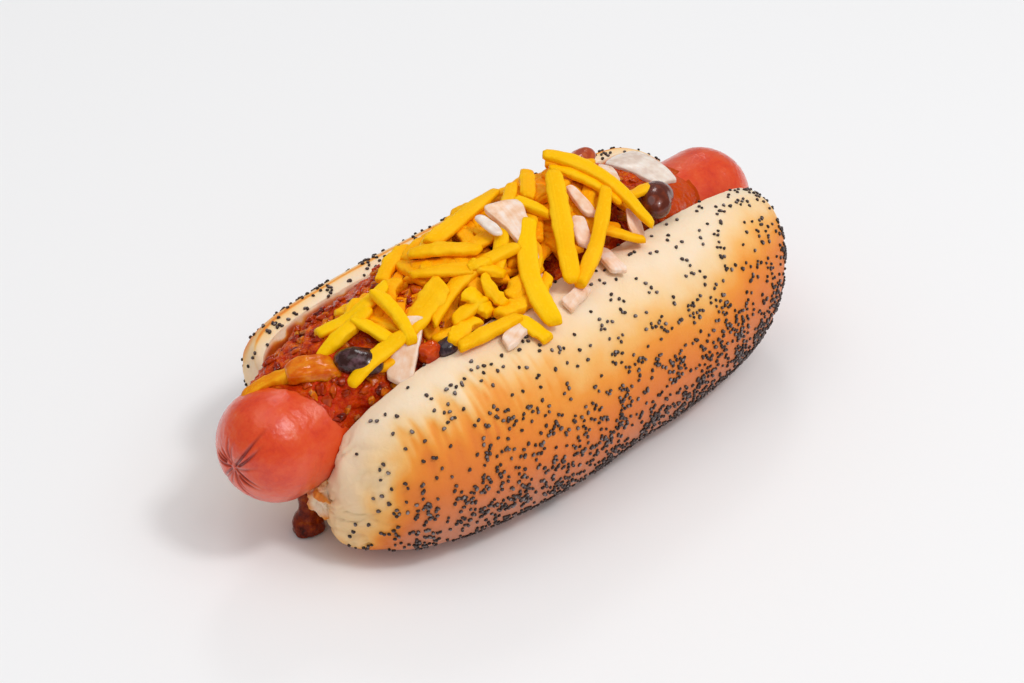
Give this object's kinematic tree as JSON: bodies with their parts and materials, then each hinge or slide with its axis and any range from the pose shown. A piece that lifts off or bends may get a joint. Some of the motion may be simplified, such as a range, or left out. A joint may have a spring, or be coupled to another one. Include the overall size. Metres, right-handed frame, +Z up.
{
  "type": "chili cheese hot dog",
  "caption": "Steamed sausage in an opened poppy-seed bun, topped with chili, beans, diced onion and shredded cheese.",
  "frame": {"origin": "on the table, under the middle of the bun", "axes": "+X along the sausage from the end with the drip to the other end, +Y to the back lobe of the bun, +Z up"},
  "size_m": [0.1642, 0.0793, 0.0625],
  "materials": {
    "bun": "soft baked bread crust, cream at the rim and golden lower down, with blue-black poppy seeds",
    "sausage": "moist orange-red sausage skin",
    "chili": "wet red-brown chili sauce",
    "cheese": "bright yellow shredded cheese",
    "bean": "dark glossy bean skin",
    "tomato": "soft cooked tomato",
    "onion": "pale translucent diced onion"
  },
  "bodies": {
    "root": {"bun": "bun", "sausage": "sausage", "chili": "chili", "chili_drip": "chili", "cheese": "cheese", "cheese_loose": "cheese", "bean_1": "bean", "bean_2": "bean", "bean_3": "bean", "bean_4": "bean", "tomato_1": "tomato", "tomato_2": "tomato", "onion_1": "onion", "onion_2": "onion", "onion_3": "onion", "onion_4": "onion", "onion_5": "onion", "onion_6": "onion", "onion_7": "onion", "onion_8": "onion", "onion_9": "onion", "onion_10": "onion", "onion_11": "onion", "onion_12": "onion"}
  },
  "joints": []
}
